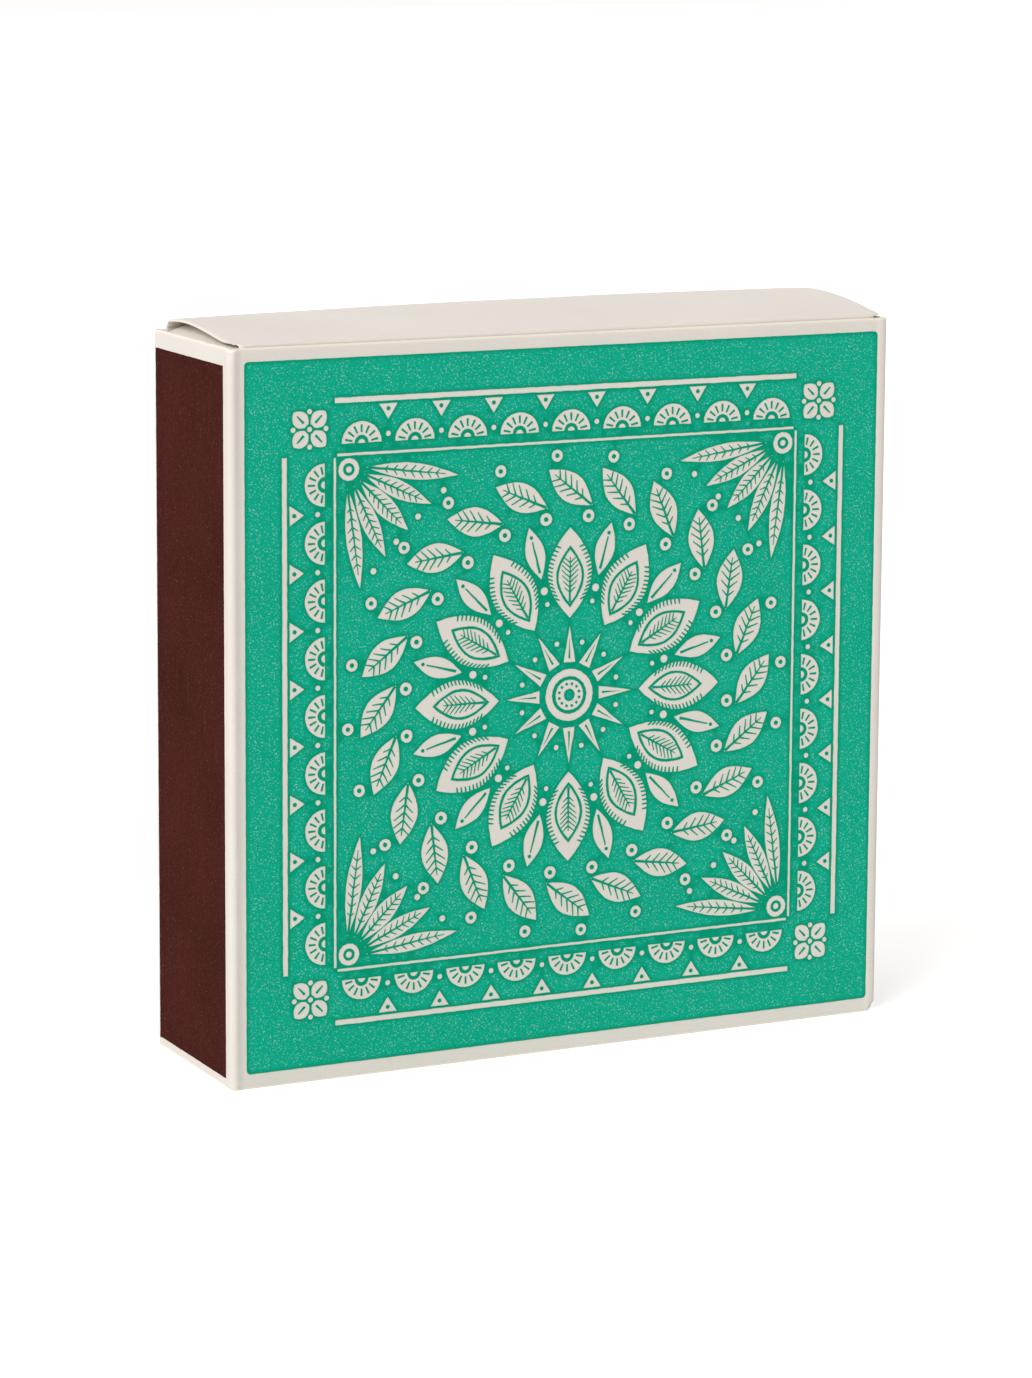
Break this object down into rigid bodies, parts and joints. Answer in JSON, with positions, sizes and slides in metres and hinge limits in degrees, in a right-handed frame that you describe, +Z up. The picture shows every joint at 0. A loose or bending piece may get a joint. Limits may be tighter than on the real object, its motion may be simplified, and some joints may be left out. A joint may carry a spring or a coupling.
{
  "type": "matchbox",
  "caption": "Square board matchbox standing on end, with striking strips, a printed front and a sliding tray of long matches.",
  "frame": {"origin": "middle of the base that the box stands on", "axes": "+Z up along the way the tray slides, -Y out of the printed front, +X to the right of a viewer facing the front"},
  "size_m": [0.1102, 0.0296, 0.1129],
  "materials": {
    "sleeve_board": "smooth cream board",
    "tray_board": "smooth cream board",
    "striker": "fine gritty brown striking paint",
    "ink": "mottled green printing ink",
    "match_wood": "sawn pale softwood",
    "match_head": "matt striking compound"
  },
  "bodies": {
    "sleeve": {"sleeve": "sleeve_board", "striker_left": "striker", "striker_right": "striker", "front_print": "ink"},
    "tray": {"tray": "tray_board", "match_stick_01": "match_wood", "match_head_01": "match_head", "match_stick_02": "match_wood", "match_head_02": "match_head", "match_stick_03": "match_wood", "match_head_03": "match_head", "match_stick_04": "match_wood", "match_head_04": "match_head", "match_stick_05": "match_wood", "match_head_05": "match_head", "match_stick_06": "match_wood", "match_head_06": "match_head", "match_stick_07": "match_wood", "match_head_07": "match_head", "match_stick_08": "match_wood", "match_head_08": "match_head", "match_stick_09": "match_wood", "match_head_09": "match_head", "match_stick_10": "match_wood", "match_head_10": "match_head", "match_stick_11": "match_wood", "match_head_11": "match_head", "match_stick_12": "match_wood", "match_head_12": "match_head", "match_stick_13": "match_wood", "match_head_13": "match_head", "match_stick_14": "match_wood", "match_head_14": "match_head", "match_stick_15": "match_wood", "match_head_15": "match_head", "match_stick_16": "match_wood", "match_head_16": "match_head", "match_stick_17": "match_wood", "match_head_17": "match_head", "match_stick_18": "match_wood", "match_head_18": "match_head", "match_stick_19": "match_wood", "match_head_19": "match_head", "match_stick_20": "match_wood", "match_head_20": "match_head", "match_stick_21": "match_wood", "match_head_21": "match_head", "match_stick_22": "match_wood", "match_head_22": "match_head", "match_stick_23": "match_wood", "match_head_23": "match_head", "match_stick_24": "match_wood", "match_head_24": "match_head"}
  },
  "joints": [
    {"name": "tray_slide", "type": "slide", "parent": "sleeve", "child": "tray", "axis": [0, 0, 1], "range_m": [0, 0.1]}
  ]
}
